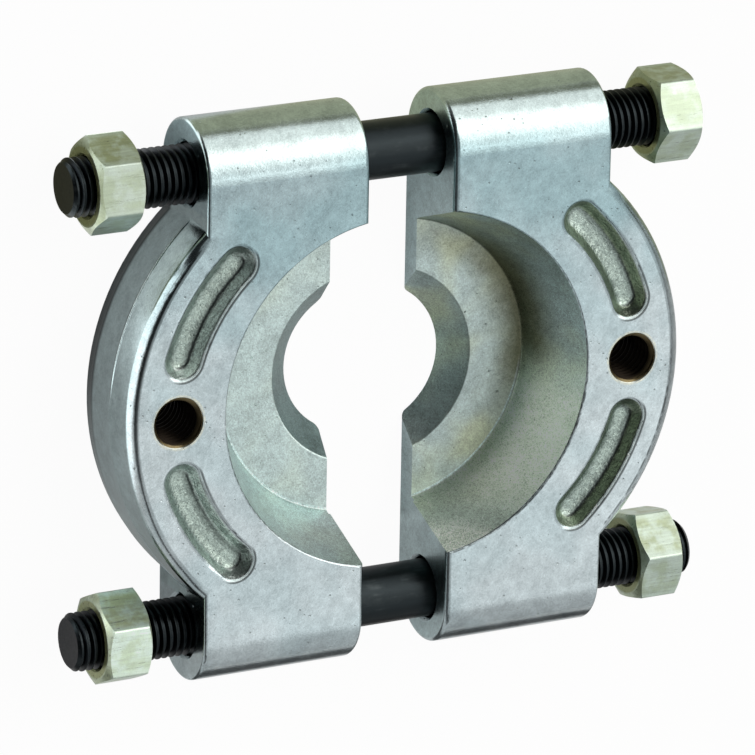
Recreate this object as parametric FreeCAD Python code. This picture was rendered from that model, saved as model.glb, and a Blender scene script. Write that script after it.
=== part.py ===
import FreeCAD, Part
import math
import os

from FreeCAD import Vector

# Bearing separator: two half-round forged jaws that two double-ended studs draw together.
# It lies on its back with the bearing recess up. X runs along the studs and Y from stud to stud.
# The origin is on the back plane, midway between the jaws and between the studs.
# All sizes are in millimetres and degrees.

# Jaw block and bosses
jaw_thickness = 30.0
jaw_gap = 25.0
boss_length = 47.0
stud_spacing = 127.0
mating_edge_radius = 1.4
boss_end_radius = 0.9
root_radius = 2.2

# Forged rim, measured from the middle of the mating plane
rim_radius = 70.0
parting_height = 18.5
forging_draft = 2.5
back_bevel_width = 0.8
back_bevel_height = 5.0
back_bevel_radius = 1.2
front_edge_radius = 2.2
flash_height = 0.35
flash_width = 0.9
flash_fade = 0.38

# Stepped bearing recess: a wide cone down to a thin lip
lip_thickness = 7.0
recess_radius = 49.0
recess_floor_radius = 40.7
recess_setback = 7.6
recess_corner_radius = 0.6
recess_edge_radius = 0.6

# Nose of the lip, a knife edge at the back that slips behind the bearing
nose_radius = 27.2
nose_edge_radius = 20.4
nose_setback = 9.9
nose_rim_radius = 0.5

# Relief on the lip's own mating edge
relief_depth = 0.4
relief_back_half_width = 46.8
relief_front_half_width = 41.8

# Kidney pockets forged into the front face
pocket_circle_radius = 56.4
pocket_width = 10.6
pocket_depth = 3.4
pocket_draft = 40.0
pocket_floor_radius = 3.2
pocket_edge_radius = 1.5
pocket_start_angle = 17.4
pocket_end_angle = 47.3

# Threaded hole for a puller's leg, drawn at its thread's major diameter
puller_hole_diameter = 14.0
puller_hole_distance = 55.1
puller_hole_chamfer = 0.2

# Studs and the holes that they slide in
stud_diameter = 16.0
stud_length = 185.0
stud_end_chamfer = 1.3
stud_hole_clearance = 1.0
stud_hole_chamfer = 0.8
upper_stud_shift = -1.7
lower_stud_shift = -0.2

# Nuts, each screwed on by a different amount and stopped at its own angle
nut_sides = 6
nut_across_flats = 23.4
nut_height = 13.0
nut_corner_angle = 30.0
nut_face_margin = 0.8
nut_side_radius = 0.8
nut_thread_clearance = 0.1
nut_mouth_chamfer = 0.8
upper_left_nut_inset = 5.7
upper_right_nut_inset = 1.5
lower_left_nut_inset = 6.9
lower_right_nut_inset = 4.5
upper_left_nut_turn = 53.0
upper_right_nut_turn = 35.0
lower_left_nut_turn = 3.5
lower_right_nut_turn = 16.5

# How far a cutting shape runs on past the surface that it cuts
overrun = 2.0

# Points nearer than this count as one
same_place = 1e-4

# Values that follow from the sizes above
stud_height = jaw_thickness / 2
stud_offset = stud_spacing / 2
mating_x = jaw_gap / 2
boss_end_x = mating_x + boss_length

ORIGIN = Vector(0, 0, 0)
X_AXIS = Vector(1, 0, 0)
Y_AXIS = Vector(0, 1, 0)
Z_AXIS = Vector(0, 0, 1)


def rounded_face(corners):
    """Flat face inside straight sides, with a tangent arc at each corner that has a radius."""
    count = len(corners)
    starts = []
    ends = []
    middles = []
    for index, (point, radius) in enumerate(corners):
        before = (corners[index - 1][0] - point).normalize()
        after = (corners[(index + 1) % count][0] - point).normalize()
        half_corner = before.getAngle(after) / 2
        reach = radius / math.tan(half_corner)
        starts.append(point + before * reach)
        ends.append(point + after * reach)
        bisector = (before + after).normalize()
        middles.append(point + bisector * (radius / math.sin(half_corner) - radius))
    edges = []
    for index, (point, radius) in enumerate(corners):
        if radius > 0:
            edges.append(Part.Arc(starts[index], middles[index], ends[index]).toShape())
        following = starts[(index + 1) % count]
        if ends[index].distanceToPoint(following) > same_place:
            edges.append(Part.LineSegment(ends[index], following).toShape())
    return Part.Face(Part.Wire(edges))


def turned(profile, centre_x, start_angle=0.0, sweep=360.0):
    """Solid turned about the upright line at centre_x from corners given as (r, z, radius)."""
    corners = [(Vector(centre_x + r, 0, z), radius) for r, z, radius in profile]
    face = rounded_face(corners)
    axis_point = Vector(centre_x, 0, 0)
    face.rotate(axis_point, Z_AXIS, start_angle)
    return face.revolve(axis_point, Z_AXIS, sweep)


def roll_width(radius, draft):
    """How far an edge rounding reaches onto a flat face from a wall with this draft in degrees."""
    return radius / math.tan(math.radians(45 + draft / 2))


def edges_at_x(solid, x):
    """Edges that lie wholly in the plane at x."""
    found = []
    for edge in solid.Edges:
        box = edge.BoundBox
        if abs(box.XMin - x) < same_place and abs(box.XMax - x) < same_place:
            found.append(edge)
    return found


def boss_block():
    """Block that carries both bosses, full-round along each stud, with softened end edges."""
    half_width = stud_offset + jaw_thickness / 2
    full_round = jaw_thickness / 2
    outline = [
        (Vector(mating_x, -half_width, 0), full_round),
        (Vector(mating_x, half_width, 0), full_round),
        (Vector(mating_x, half_width, jaw_thickness), full_round),
        (Vector(mating_x, -half_width, jaw_thickness), full_round),
    ]
    block = rounded_face(outline).extrude(X_AXIS * boss_length)
    block = block.makeFillet(mating_edge_radius, edges_at_x(block, mating_x))
    return block.makeFillet(boss_end_radius, edges_at_x(block, boss_end_x))


def rim_window():
    """Region in which the rim shows past the boss block and still joins it."""
    rim_meets_boss = math.sqrt(rim_radius ** 2 - boss_length ** 2)
    half_width = (rim_meets_boss + stud_offset) / 2
    start = mating_x + boss_length / 2
    length = boss_length / 2 + rim_radius
    corner = Vector(start, -half_width, -overrun)
    return Part.makeBox(length, 2 * half_width, jaw_thickness + 2 * overrun, corner)


def rim_corners():
    """Corners of the rim's section from back to front, as (drop from the parting line, z, radius)."""
    slope = math.tan(math.radians(forging_draft))
    bevel_drop = (parting_height - back_bevel_height) * slope
    front_drop = (jaw_thickness - parting_height) * slope
    return [
        (bevel_drop + back_bevel_width, 0, back_bevel_radius),
        (bevel_drop, back_bevel_height, back_bevel_radius),
        (0, parting_height, 0),
        (front_drop, jaw_thickness, front_edge_radius),
    ]


def rim():
    """Half-round rim with forging draft both ways from the parting line."""
    profile = [(0, 0, 0)]
    for drop, z, radius in rim_corners():
        profile.append((rim_radius - drop, z, radius))
    profile.append((0, jaw_thickness, 0))
    return turned(profile, mating_x, -90, 180).common(rim_window())


def root_hollow():
    """Cutting shape of the inside corner beside a boss: the rim's own section, turned inside out."""
    corners = rim_corners()
    back_drop, _, back_radius = corners[0]
    front_drop, _, front_radius = corners[-1]
    back_draft = math.degrees(math.atan2(back_bevel_width, back_bevel_height))
    back_mouth = root_radius + back_drop + roll_width(back_radius, back_draft)
    front_mouth = root_radius + front_drop + roll_width(front_radius, forging_draft)
    profile = [(0, -overrun, 0), (back_mouth, -overrun, 0), (back_mouth, 0, 0)]
    for drop, z, radius in corners:
        profile.append((root_radius + drop, z, radius))
    profile.append((front_mouth, jaw_thickness, 0))
    profile.append((front_mouth, jaw_thickness + overrun, 0))
    profile.append((0, jaw_thickness + overrun, 0))
    return turned(profile, 0)


def root_web():
    """Metal that fills the upper inside corner between the rim and the boss's outer end."""
    centre_u = boss_length + root_radius
    centre_y = math.sqrt((rim_radius + root_radius) ** 2 - centre_u ** 2)
    outline = Part.makePolygon([
        Vector(boss_end_x, centre_y, 0),
        Vector(mating_x + centre_u, centre_y, 0),
        Vector(boss_end_x, centre_y * boss_length / centre_u, 0),
        Vector(boss_end_x, centre_y, 0),
    ])
    hollow = root_hollow()
    hollow.translate(Vector(mating_x + centre_u, centre_y, 0))
    return Part.Face(outline).extrude(Z_AXIS * jaw_thickness).cut(hollow)


def flash_land():
    """Trimmed flash on the parting line. It stands proud near the bosses and fades between."""
    low = parting_height - flash_width / 2
    high = parting_height + flash_width / 2
    radius = rim_radius + flash_height
    profile = [(0, low, 0), (radius, low, 0), (radius, high, 0), (0, high, 0)]
    return turned(profile, mating_x - flash_fade, -90, 180).common(rim_window())


def recess_cutter():
    """Wide cone of the bearing recess, down to the lip."""
    top = jaw_thickness + overrun
    draft = math.degrees(math.atan2(recess_radius - recess_floor_radius, jaw_thickness - lip_thickness))
    mouth_radius = recess_radius + roll_width(recess_edge_radius, draft)
    profile = [
        (0, lip_thickness, 0),
        (recess_floor_radius, lip_thickness, recess_corner_radius),
        (recess_radius, jaw_thickness, recess_edge_radius),
        (mouth_radius, jaw_thickness, 0),
        (mouth_radius, top, 0),
        (0, top, 0),
    ]
    return turned(profile, mating_x - recess_setback)


def nose_cutter():
    """Cone that leaves the lip's nose with a knife edge at the back."""
    slope = (nose_radius - nose_edge_radius) / lip_thickness
    mouth_radius = nose_radius + roll_width(nose_rim_radius, math.degrees(math.atan(slope)))
    high = lip_thickness + overrun
    profile = [
        (0, -overrun, 0),
        (nose_edge_radius - overrun * slope, -overrun, 0),
        (nose_radius, lip_thickness, nose_rim_radius),
        (mouth_radius, lip_thickness, 0),
        (mouth_radius, high, 0),
        (0, high, 0),
    ]
    return turned(profile, mating_x - nose_setback)


def lip_relief_cutter():
    """Thin wedge off the lip's mating edge, deepest at the recess floor."""
    high = lip_thickness + overrun
    spread = (relief_front_half_width - relief_back_half_width) / lip_thickness
    high_half_width = relief_back_half_width + spread * high
    high_depth = relief_depth * high / lip_thickness
    side = Part.makePolygon([
        Vector(mating_x - overrun, 0, 0),
        Vector(mating_x, 0, 0),
        Vector(mating_x + high_depth, 0, high),
        Vector(mating_x - overrun, 0, high),
        Vector(mating_x - overrun, 0, 0),
    ])
    side.translate(Vector(0, -relief_back_half_width, 0))
    wedge = Part.Face(side).extrude(Vector(0, 2 * relief_back_half_width, 0))
    front = Part.makePolygon([
        Vector(mating_x - overrun, -relief_back_half_width, 0),
        Vector(mating_x - overrun, relief_back_half_width, 0),
        Vector(mating_x - overrun, high_half_width, high),
        Vector(mating_x - overrun, -high_half_width, high),
        Vector(mating_x - overrun, -relief_back_half_width, 0),
    ])
    window = Part.Face(front).extrude(X_AXIS * (2 * overrun))
    return wedge.common(window)


def chamfered_bore(radius, length, chamfer):
    """Upright cutting shape of a through hole from z = 0 to length, with both mouths chamfered."""
    wide = radius + chamfer + overrun
    profile = [
        (0, -overrun, 0),
        (wide, -overrun, 0),
        (radius, chamfer, 0),
        (radius, length - chamfer, 0),
        (wide, length + overrun, 0),
        (0, length + overrun, 0),
    ]
    return turned(profile, 0)


def puller_hole_cutter():
    """Through hole for the puller's leg."""
    bore = chamfered_bore(puller_hole_diameter / 2, jaw_thickness, puller_hole_chamfer)
    bore.translate(Vector(mating_x + puller_hole_distance, 0, 0))
    return bore


def stud_hole_cutter(side):
    """Hole through one boss; side is 1 for the upper boss and -1 for the lower."""
    bore = chamfered_bore((stud_diameter + stud_hole_clearance) / 2, boss_length, stud_hole_chamfer)
    bore.rotate(ORIGIN, Y_AXIS, 90)
    bore.translate(Vector(mating_x, side * stud_offset, stud_height))
    return bore


def pocket_cutter(side):
    """Kidney pocket along an arc of the rim; side is 1 for the upper one and -1 for the lower."""
    half_width = pocket_width / 2
    half_floor = half_width - pocket_depth * math.tan(math.radians(pocket_draft))
    half_mouth = half_width + roll_width(pocket_edge_radius, pocket_draft)
    floor = jaw_thickness - pocket_depth
    top = jaw_thickness + overrun
    across = [
        (pocket_circle_radius - half_mouth, top, 0),
        (pocket_circle_radius - half_mouth, jaw_thickness, 0),
        (pocket_circle_radius - half_width, jaw_thickness, pocket_edge_radius),
        (pocket_circle_radius - half_floor, floor, pocket_floor_radius),
        (pocket_circle_radius + half_floor, floor, pocket_floor_radius),
        (pocket_circle_radius + half_width, jaw_thickness, pocket_edge_radius),
        (pocket_circle_radius + half_mouth, jaw_thickness, 0),
        (pocket_circle_radius + half_mouth, top, 0),
    ]
    half_across = [
        (0, top, 0),
        (0, floor, 0),
        (half_floor, floor, pocket_floor_radius),
        (half_width, jaw_thickness, pocket_edge_radius),
        (half_mouth, jaw_thickness, 0),
        (half_mouth, top, 0),
    ]
    low_angle = min(side * pocket_start_angle, side * pocket_end_angle)
    high_angle = max(side * pocket_start_angle, side * pocket_end_angle)
    channel = turned(across, mating_x, low_angle, high_angle - low_angle)
    ends = []
    for angle, start in ((low_angle, -180), (high_angle, 0)):
        end = turned(half_across, mating_x + pocket_circle_radius, start, 180)
        end.rotate(Vector(mating_x, 0, 0), Z_AXIS, angle)
        ends.append(end)
    return channel.fuse(ends).removeSplitter()


def right_jaw():
    """The forging at the right: rim and bosses in one, then everything cut into it."""
    web = root_web()
    lower_web = web.mirror(ORIGIN, Y_AXIS)
    blank = boss_block().fuse([rim(), web, lower_web]).removeSplitter()
    blank = blank.fuse(flash_land())
    cutters = [
        recess_cutter(),
        nose_cutter(),
        lip_relief_cutter(),
        puller_hole_cutter(),
    ]
    for side in (1, -1):
        cutters.append(stud_hole_cutter(side))
        cutters.append(pocket_cutter(side))
    return blank.cut(cutters).removeSplitter()


def left_jaw():
    """The same forging, turned half a turn."""
    jaw = right_jaw()
    jaw.rotate(ORIGIN, Z_AXIS, 180)
    return jaw


def stud(side, shift):
    """Double-ended stud whose middle lies at shift along X."""
    radius = stud_diameter / 2
    profile = [
        (0, 0, 0),
        (radius - stud_end_chamfer, 0, 0),
        (radius, stud_end_chamfer, 0),
        (radius, stud_length - stud_end_chamfer, 0),
        (radius - stud_end_chamfer, stud_length, 0),
        (0, stud_length, 0),
    ]
    rod = turned(profile, 0)
    rod.rotate(ORIGIN, Y_AXIS, 90)
    rod.translate(Vector(shift - stud_length / 2, side * stud_offset, stud_height))
    return rod


def nut(side, start_x, turn):
    """Hex nut with turned-off corners; turn is the angle from +Y to one of its corners."""
    corner_radius = nut_across_flats / 2 / math.cos(math.pi / nut_sides)
    corners = []
    for index in range(nut_sides):
        angle = 2 * math.pi * index / nut_sides
        corner = Vector(corner_radius * math.cos(angle), corner_radius * math.sin(angle), 0)
        corners.append((corner, nut_side_radius))
    hexagon = rounded_face(corners).extrude(Z_AXIS * nut_height)
    face_radius = nut_across_flats / 2 - nut_face_margin
    drop = (corner_radius + overrun - face_radius) * math.tan(math.radians(nut_corner_angle))
    turned_blank = turned([
        (0, 0, 0),
        (face_radius, 0, 0),
        (corner_radius + overrun, drop, 0),
        (corner_radius + overrun, nut_height - drop, 0),
        (face_radius, nut_height, 0),
        (0, nut_height, 0),
    ], 0)
    bore_radius = (stud_diameter + nut_thread_clearance) / 2
    body = hexagon.common(turned_blank).cut(chamfered_bore(bore_radius, nut_height, nut_mouth_chamfer))
    body.rotate(ORIGIN, Y_AXIS, 90)
    body.rotate(ORIGIN, X_AXIS, turn + 90)
    body.translate(Vector(start_x, side * stud_offset, stud_height))
    return body


def write(name, solid):
    """Write one piece and report its volume."""
    print(name, "valid", solid.isValid(), "solids", len(solid.Solids), "volume", round(solid.Volume, 1))
    solid.exportStep("parts/" + name + ".step")


os.makedirs("parts", exist_ok=True)

left_end_upper = upper_stud_shift - stud_length / 2
right_end_upper = upper_stud_shift + stud_length / 2
left_end_lower = lower_stud_shift - stud_length / 2
right_end_lower = lower_stud_shift + stud_length / 2

write("left_jaw", left_jaw())
write("right_jaw", right_jaw())
write("upper_stud", stud(1, upper_stud_shift))
write("lower_stud", stud(-1, lower_stud_shift))
write("upper_left_nut", nut(1, left_end_upper + upper_left_nut_inset, upper_left_nut_turn))
write("lower_left_nut", nut(-1, left_end_lower + lower_left_nut_inset, lower_left_nut_turn))
write("upper_right_nut", nut(1, right_end_upper - upper_right_nut_inset - nut_height, upper_right_nut_turn))
write("lower_right_nut", nut(-1, right_end_lower - lower_right_nut_inset - nut_height, lower_right_nut_turn))
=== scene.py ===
"""Looks of a bearing separator: two plated forgings, two black studs and four pale nuts."""
import logging
import math
from dataclasses import dataclass, field
from enum import Enum
from typing import Callable, Union

import bmesh
import bpy
import numpy as np
from mathutils import Matrix, Vector


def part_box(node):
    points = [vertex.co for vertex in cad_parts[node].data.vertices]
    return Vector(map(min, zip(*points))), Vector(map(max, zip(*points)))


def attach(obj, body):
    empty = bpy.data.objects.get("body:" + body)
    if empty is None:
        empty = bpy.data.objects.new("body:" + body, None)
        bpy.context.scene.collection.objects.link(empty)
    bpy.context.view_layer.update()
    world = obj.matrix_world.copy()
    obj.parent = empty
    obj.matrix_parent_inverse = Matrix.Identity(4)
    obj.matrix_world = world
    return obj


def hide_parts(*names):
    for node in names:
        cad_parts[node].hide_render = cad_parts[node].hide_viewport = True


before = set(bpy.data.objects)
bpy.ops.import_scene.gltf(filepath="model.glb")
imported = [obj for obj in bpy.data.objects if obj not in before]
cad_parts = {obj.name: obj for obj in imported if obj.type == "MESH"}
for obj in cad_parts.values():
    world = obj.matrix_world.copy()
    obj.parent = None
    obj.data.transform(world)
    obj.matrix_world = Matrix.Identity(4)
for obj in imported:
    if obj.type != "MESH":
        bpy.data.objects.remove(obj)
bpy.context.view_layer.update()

MM = 0.001
FULL_TURN = 2 * math.pi
# The direction in plan that points to the picture's lower right.
LOWER_RIGHT = (0.766, -0.643)
WHITE = (1.0, 1.0, 1.0)
LOG = logging.getLogger("separator")

Colour = tuple[float, float, float]
Socket = bpy.types.NodeSocket
Value = Union[float, int, Socket]


class Side(Enum):
    """Which jaw a piece belongs to; the value turns the right jaw's coordinates into its own."""

    LEFT = -1.0
    RIGHT = 1.0


class Row(Enum):
    """Which stud a piece belongs to; the value is the sign of its place along Y."""

    UPPER = 1.0
    LOWER = -1.0


@dataclass(frozen=True)
class JawForm:
    """Sizes of a jaw that its finish and its thread follow, in mm and degrees, in the right jaw's place."""

    thickness: float = 30.0
    mating_x: float = 12.5
    boss_end_x: float = 59.5
    stud_offset: float = 63.5
    rim_radius: float = 70.0
    parting_height: float = 18.5
    lip_thickness: float = 7.0
    recess_x: float = 4.9
    recess_radius: float = 49.0
    recess_floor_radius: float = 40.7
    pocket_circle_radius: float = 56.4
    pocket_half_width: float = 5.3
    pocket_start_angle: float = 17.4
    pocket_end_angle: float = 47.3
    hole_x: float = 67.6
    hole_radius: float = 7.0
    hole_chamfer: float = 0.2


class Wiring:
    """Short ways to wire a node tree. Every method that computes something returns an output socket."""

    def __init__(self, tree: bpy.types.NodeTree) -> None:
        """Take over a tree and clear it.

        Args:
            tree: The material's or the world's node tree.
        """
        self.tree = tree
        tree.nodes.clear()

    def node(self, kind: str, **settings: object) -> bpy.types.Node:
        """Add a node.

        Args:
            kind: Blender's name of the node's type.
            settings: Properties to set on it.

        Returns:
            The new node.
        """
        made = self.tree.nodes.new(kind)
        for name, value in settings.items():
            setattr(made, name, value)
        return made

    def feed(self, entry: Socket, value: Union[Value, Colour]) -> None:
        """Link a socket into an input, or set the input to a plain value.

        Args:
            entry: The input.
            value: A socket, a number, a colour or a vector.
        """
        if isinstance(value, bpy.types.NodeSocket):
            self.tree.links.new(value, entry)
        elif isinstance(value, tuple) and len(entry.default_value) == 4:
            entry.default_value = (*value, 1.0)
        else:
            entry.default_value = value

    def math(self, operation: str, *values: Value) -> Socket:
        """Return the result of one math operation on the values."""
        made = self.node("ShaderNodeMath", operation=operation)
        for entry, value in zip(made.inputs, values):
            self.feed(entry, value)
        return made.outputs[0]

    def add(self, *values: Value) -> Socket:
        """Return the sum of two or more values."""
        total = self.math("ADD", values[0], values[1])
        for value in values[2:]:
            total = self.math("ADD", total, value)
        return total

    def times(self, *values: Value) -> Socket:
        """Return the product of two or more values."""
        product = self.math("MULTIPLY", values[0], values[1])
        for value in values[2:]:
            product = self.math("MULTIPLY", product, value)
        return product

    def minus(self, a: Value, b: Value) -> Socket:
        """Return a less b."""
        return self.math("SUBTRACT", a, b)

    def length(self, a: Socket, b: Socket) -> Socket:
        """Return the length of the flat vector with the parts a and b."""
        return self.math("SQRT", self.add(self.times(a, a), self.times(b, b)))

    def swing(self, noise: Socket, depth: Value) -> Socket:
        """Return the noise made to swing about 0, times a depth."""
        return self.times(self.minus(noise, 0.5), depth)

    def ramp(self, value: Value, low: float, high: float, start: float = 0.0, end: float = 1.0) -> Socket:
        """Smooth step: start below low, end above high, and an S curve between.

        Args:
            value: What to look up.
            low: Where the step starts.
            high: Where it ends.
            start: The result below low.
            end: The result above high.

        Returns:
            The stepped value.
        """
        made = self.node("ShaderNodeMapRange", interpolation_type="SMOOTHSTEP")
        rising = low < high
        values = (value, low, high, start, end) if rising else (value, high, low, end, start)
        for entry, number in zip(made.inputs, values):
            self.feed(entry, number)
        return made.outputs[0]

    def band(self, value: Value, centre: float, half_width: float, softness: float) -> Socket:
        """Return 1 where value is within half_width of centre, falling to 0 over softness."""
        away = self.math("ABSOLUTE", self.minus(value, centre))
        return self.ramp(away, half_width + softness, half_width)

    def mix(self, factor: Value, a: Union[Value, Colour], b: Union[Value, Colour],
            blend: str = "MIX") -> Socket:
        """Mix two colours.

        Args:
            factor: How much of the second.
            a: The first colour.
            b: The second colour.
            blend: Blender's name of the way to mix.

        Returns:
            The mixed colour.
        """
        made = self.node("ShaderNodeMix", data_type="RGBA", blend_type=blend, clamp_factor=True)
        self.feed(made.inputs[0], factor)
        self.feed(made.inputs[6], a)
        self.feed(made.inputs[7], b)
        return made.outputs[2]

    def stretch(self, vector: Socket, scale: tuple[float, float, float]) -> Socket:
        """Return the vector with each axis scaled."""
        made = self.node("ShaderNodeMapping")
        self.feed(made.inputs["Vector"], vector)
        made.inputs["Scale"].default_value = scale
        return made.outputs[0]

    def split(self, vector: Socket) -> tuple[Socket, Socket, Socket]:
        """Return the vector's three parts."""
        made = self.node("ShaderNodeSeparateXYZ")
        self.feed(made.inputs[0], vector)
        return made.outputs[0], made.outputs[1], made.outputs[2]

    def surface_point(self, turn: float = 1.0) -> tuple[Socket, Socket]:
        """Find the point that is shaded, in the object's own axes.

        Args:
            turn: 1, or -1 for axes that are turned half a turn about Z.

        Returns:
            Its place in mm and its normal.
        """
        coordinates = self.node("ShaderNodeTexCoord")
        place = self.stretch(coordinates.outputs["Object"], (turn / MM, turn / MM, 1.0 / MM))
        return place, self.stretch(coordinates.outputs["Normal"], (turn, turn, 1.0))

    def noise(self, vector: Socket, size: float, detail: float, rough: float, seed: float) -> Socket:
        """Cloudy noise.

        Args:
            vector: Where to look it up.
            size: The size of its lumps, in the vector's own unit.
            detail: How many finer layers it has.
            rough: How strong they are.
            seed: Which one of the endless noises this is.

        Returns:
            A value that stays near 0.5.
        """
        made = self.node("ShaderNodeTexNoise", noise_dimensions="4D", normalize=True)
        self.feed(made.inputs["Vector"], vector)
        made.inputs["W"].default_value = seed
        made.inputs["Scale"].default_value = 1.0 / size
        made.inputs["Detail"].default_value = detail
        made.inputs["Roughness"].default_value = rough
        return made.outputs[0]

    def pits(self, vector: Socket, spacing: float, radius: float, share: float, seed: float) -> Socket:
        """Sparse round marks: points kept by their own random value, each with a soft edge.

        Args:
            vector: Where to look them up.
            spacing: The mean distance of the points.
            radius: The largest mark's radius, in the same unit.
            share: The share of the points that carry a mark.
            seed: Moves the pattern.

        Returns:
            1 in the middle of a mark and 0 outside.
        """
        moved = self.node("ShaderNodeMapping")
        self.feed(moved.inputs["Vector"], vector)
        moved.inputs["Location"].default_value = (seed, 2 * seed, 3 * seed)
        points = self.node("ShaderNodeTexVoronoi", feature="F1")
        self.feed(points.inputs["Vector"], moved.outputs[0])
        points.inputs["Scale"].default_value = 1.0 / spacing
        chance, size, _ = self.split(points.outputs["Color"])
        reach = self.times(self.ramp(size, 0.0, 1.0, 0.35, 1.0), radius / spacing)
        inside = self.ramp(self.math("DIVIDE", points.outputs["Distance"], reach), 1.0, 0.45)
        return self.times(inside, self.math("LESS_THAN", chance, share))

    def bump(self, height: Socket) -> Socket:
        """Return the normal bent by a height in mm."""
        made = self.node("ShaderNodeBump")
        made.inputs["Distance"].default_value = MM
        self.feed(made.inputs["Height"], height)
        return made.outputs[0]


def new_material(name: str) -> tuple[bpy.types.Material, Wiring]:
    """Make an empty material that uses nodes.

    Args:
        name: Its name.

    Returns:
        The material and the wiring of its tree.
    """
    material = bpy.data.materials.new(name)
    material.use_nodes = True
    return material, Wiring(material.node_tree)


def metal_output(wiring: Wiring, colour: Socket, roughness: Value, normal: Socket,
                 metallic: float = 1.0) -> None:
    """End a metal's tree in the usual shader.

    Args:
        wiring: The tree.
        colour: Base colour.
        roughness: Roughness.
        normal: Bent normal.
        metallic: How metallic it is, the same all over.
    """
    shader = wiring.node("ShaderNodeBsdfPrincipled")
    shader.inputs["Metallic"].default_value = metallic
    wiring.feed(shader.inputs["Base Color"], colour)
    wiring.feed(shader.inputs["Roughness"], roughness)
    wiring.feed(shader.inputs["Normal"], normal)
    output = wiring.node("ShaderNodeOutputMaterial")
    wiring.feed(output.inputs["Surface"], shader.outputs[0])


class JawMap:
    """Where a point of a jaw lies and which of the jaw's areas it belongs to, as sockets.

    Places are the right jaw's own, in mm. Up is the place towards the upper stud, for both jaws. An area
    is 1 inside and 0 outside, and fades at its edges.
    """

    def __init__(self, w: Wiring, form: JawForm, side: Side) -> None:
        """Work out the places, the noises and the areas that several parts of the finish share.

        Args:
            w: The wiring of the jaw's material.
            form: The jaw's sizes.
            side: The jaw.
        """
        self.w, self.form, self.side = w, form, side
        self.place, facing = w.surface_point(side.value)
        self.x, self.y, self.z = w.split(self.place)
        self.normal_x, normal_y, self.normal_z = w.split(facing)
        self.up = w.times(self.y, side.value)
        self.facing_up = w.times(normal_y, side.value)
        self.off_middle = w.math("ABSOLUTE", self.y)
        self.from_rim = self.radius_about(form.mating_x)
        self.from_recess = self.radius_about(form.recess_x)
        self.from_hole = self.radius_about(form.hole_x)
        self.from_pocket, towards_lower_right = self.pocket_distance()

        # Noises from broad clouds to the finest grain, and pits of two sizes.
        self.broad = w.noise(self.place, size=26.0, detail=2.0, rough=0.5, seed=1.0)
        self.cloud = w.noise(self.place, size=7.0, detail=3.0, rough=0.6, seed=2.0)
        self.blotch = w.noise(self.place, size=2.2, detail=3.0, rough=0.6, seed=3.0)
        self.grain = w.noise(self.place, size=0.42, detail=2.0, rough=0.6, seed=4.0)
        self.fine = w.noise(self.place, size=0.22, detail=1.0, rough=0.5, seed=5.0)
        small_pits = w.pits(self.place, spacing=1.5, radius=0.30, share=0.22, seed=3.1)
        large_pits = w.pits(self.place, spacing=8.0, radius=0.60, share=0.25, seed=17.7)
        self.pits = w.math("MAXIMUM", small_pits, large_pits)

        # The mating face, the blasted recess with its wall and nose, the pockets, and the rim's outside.
        self.mating = w.times(
            w.ramp(self.normal_x, -0.90, -0.985),
            w.ramp(self.x, form.mating_x + 1.0, form.mating_x + 0.7),
        )
        self.blasted = w.times(
            w.ramp(self.from_recess, form.recess_radius + 0.25, form.recess_radius - 0.05),
            w.ramp(self.z, form.thickness - 0.15, form.thickness - 0.45),
            w.minus(1.0, self.mating),
        )
        self.wall = w.times(self.blasted, w.ramp(self.normal_z, 0.8, 0.6))
        self.nose = w.times(self.blasted, w.ramp(self.z, form.lip_thickness, form.lip_thickness - 0.4))
        self.mouth_corner = w.times(self.wall, w.ramp(self.up, -41.5, -45.5), w.ramp(self.z, 11.0, 20.0))
        self.pocket = w.times(
            w.ramp(self.from_pocket, form.pocket_half_width + 0.2, form.pocket_half_width - 0.4),
            w.ramp(self.z, form.thickness - 0.15, form.thickness - 0.5),
        )
        self.shaded_edge = w.ramp(towards_lower_right, 0.1, 0.6)
        self.between_bosses = w.ramp(self.off_middle, form.stud_offset - 8.0, form.stud_offset - 9.0)
        self.rim_side = w.times(
            w.ramp(self.from_rim, form.rim_radius - 3.2, form.rim_radius - 2.0),
            w.ramp(self.normal_z, 0.75, 0.25),
            self.between_bosses,
        )
        self.upper_rim = w.times(self.rim_side, w.ramp(self.up, 0.0, 20.0), w.ramp(self.up, 52.0, 49.0))

    def radius_about(self, centre_x: float) -> Socket:
        """Return the distance from the upright axis at centre_x."""
        return self.w.length(self.w.minus(self.x, centre_x), self.y)

    def pocket_distance(self) -> tuple[Socket, Socket]:
        """Distance in plan to the middle line of the nearer kidney pocket, an arc about the rim's axis.

        The nearest point of the arc has the place's own angle, held between the arc's two ends.

        Returns:
            The distance in mm, and how far it points to the picture's lower right, from -1 to 1.
        """
        w, form = self.w, self.form
        along = w.minus(self.x, form.mating_x)
        angle = w.math("ARCTAN2", self.off_middle, along)
        angle = w.math("MAXIMUM", angle, math.radians(form.pocket_start_angle))
        angle = w.math("MINIMUM", angle, math.radians(form.pocket_end_angle))
        off_x = w.minus(along, w.times(w.math("COSINE", angle), form.pocket_circle_radius))
        off_y = w.minus(self.off_middle, w.times(w.math("SINE", angle), form.pocket_circle_radius))
        distance = w.length(off_x, off_y)
        signed_off_y = w.times(off_y, w.math("SIGN", self.y))
        right_x, right_y = (part * self.side.value for part in LOWER_RIGHT)
        pointing = w.add(w.times(off_x, right_x), w.times(signed_off_y, right_y))
        return distance, w.math("DIVIDE", pointing, distance)


@dataclass(frozen=True)
class JawWear:
    """How one jaw came out of its plating and its use, and how much painted light and shade it carries. The
    shares are from 0 to 1.
    """

    straw_share: float
    corner_shade_share: float
    edge_shade_share: float
    rough_corner: float
    pocket_wall_shading_colour: Colour


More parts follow.
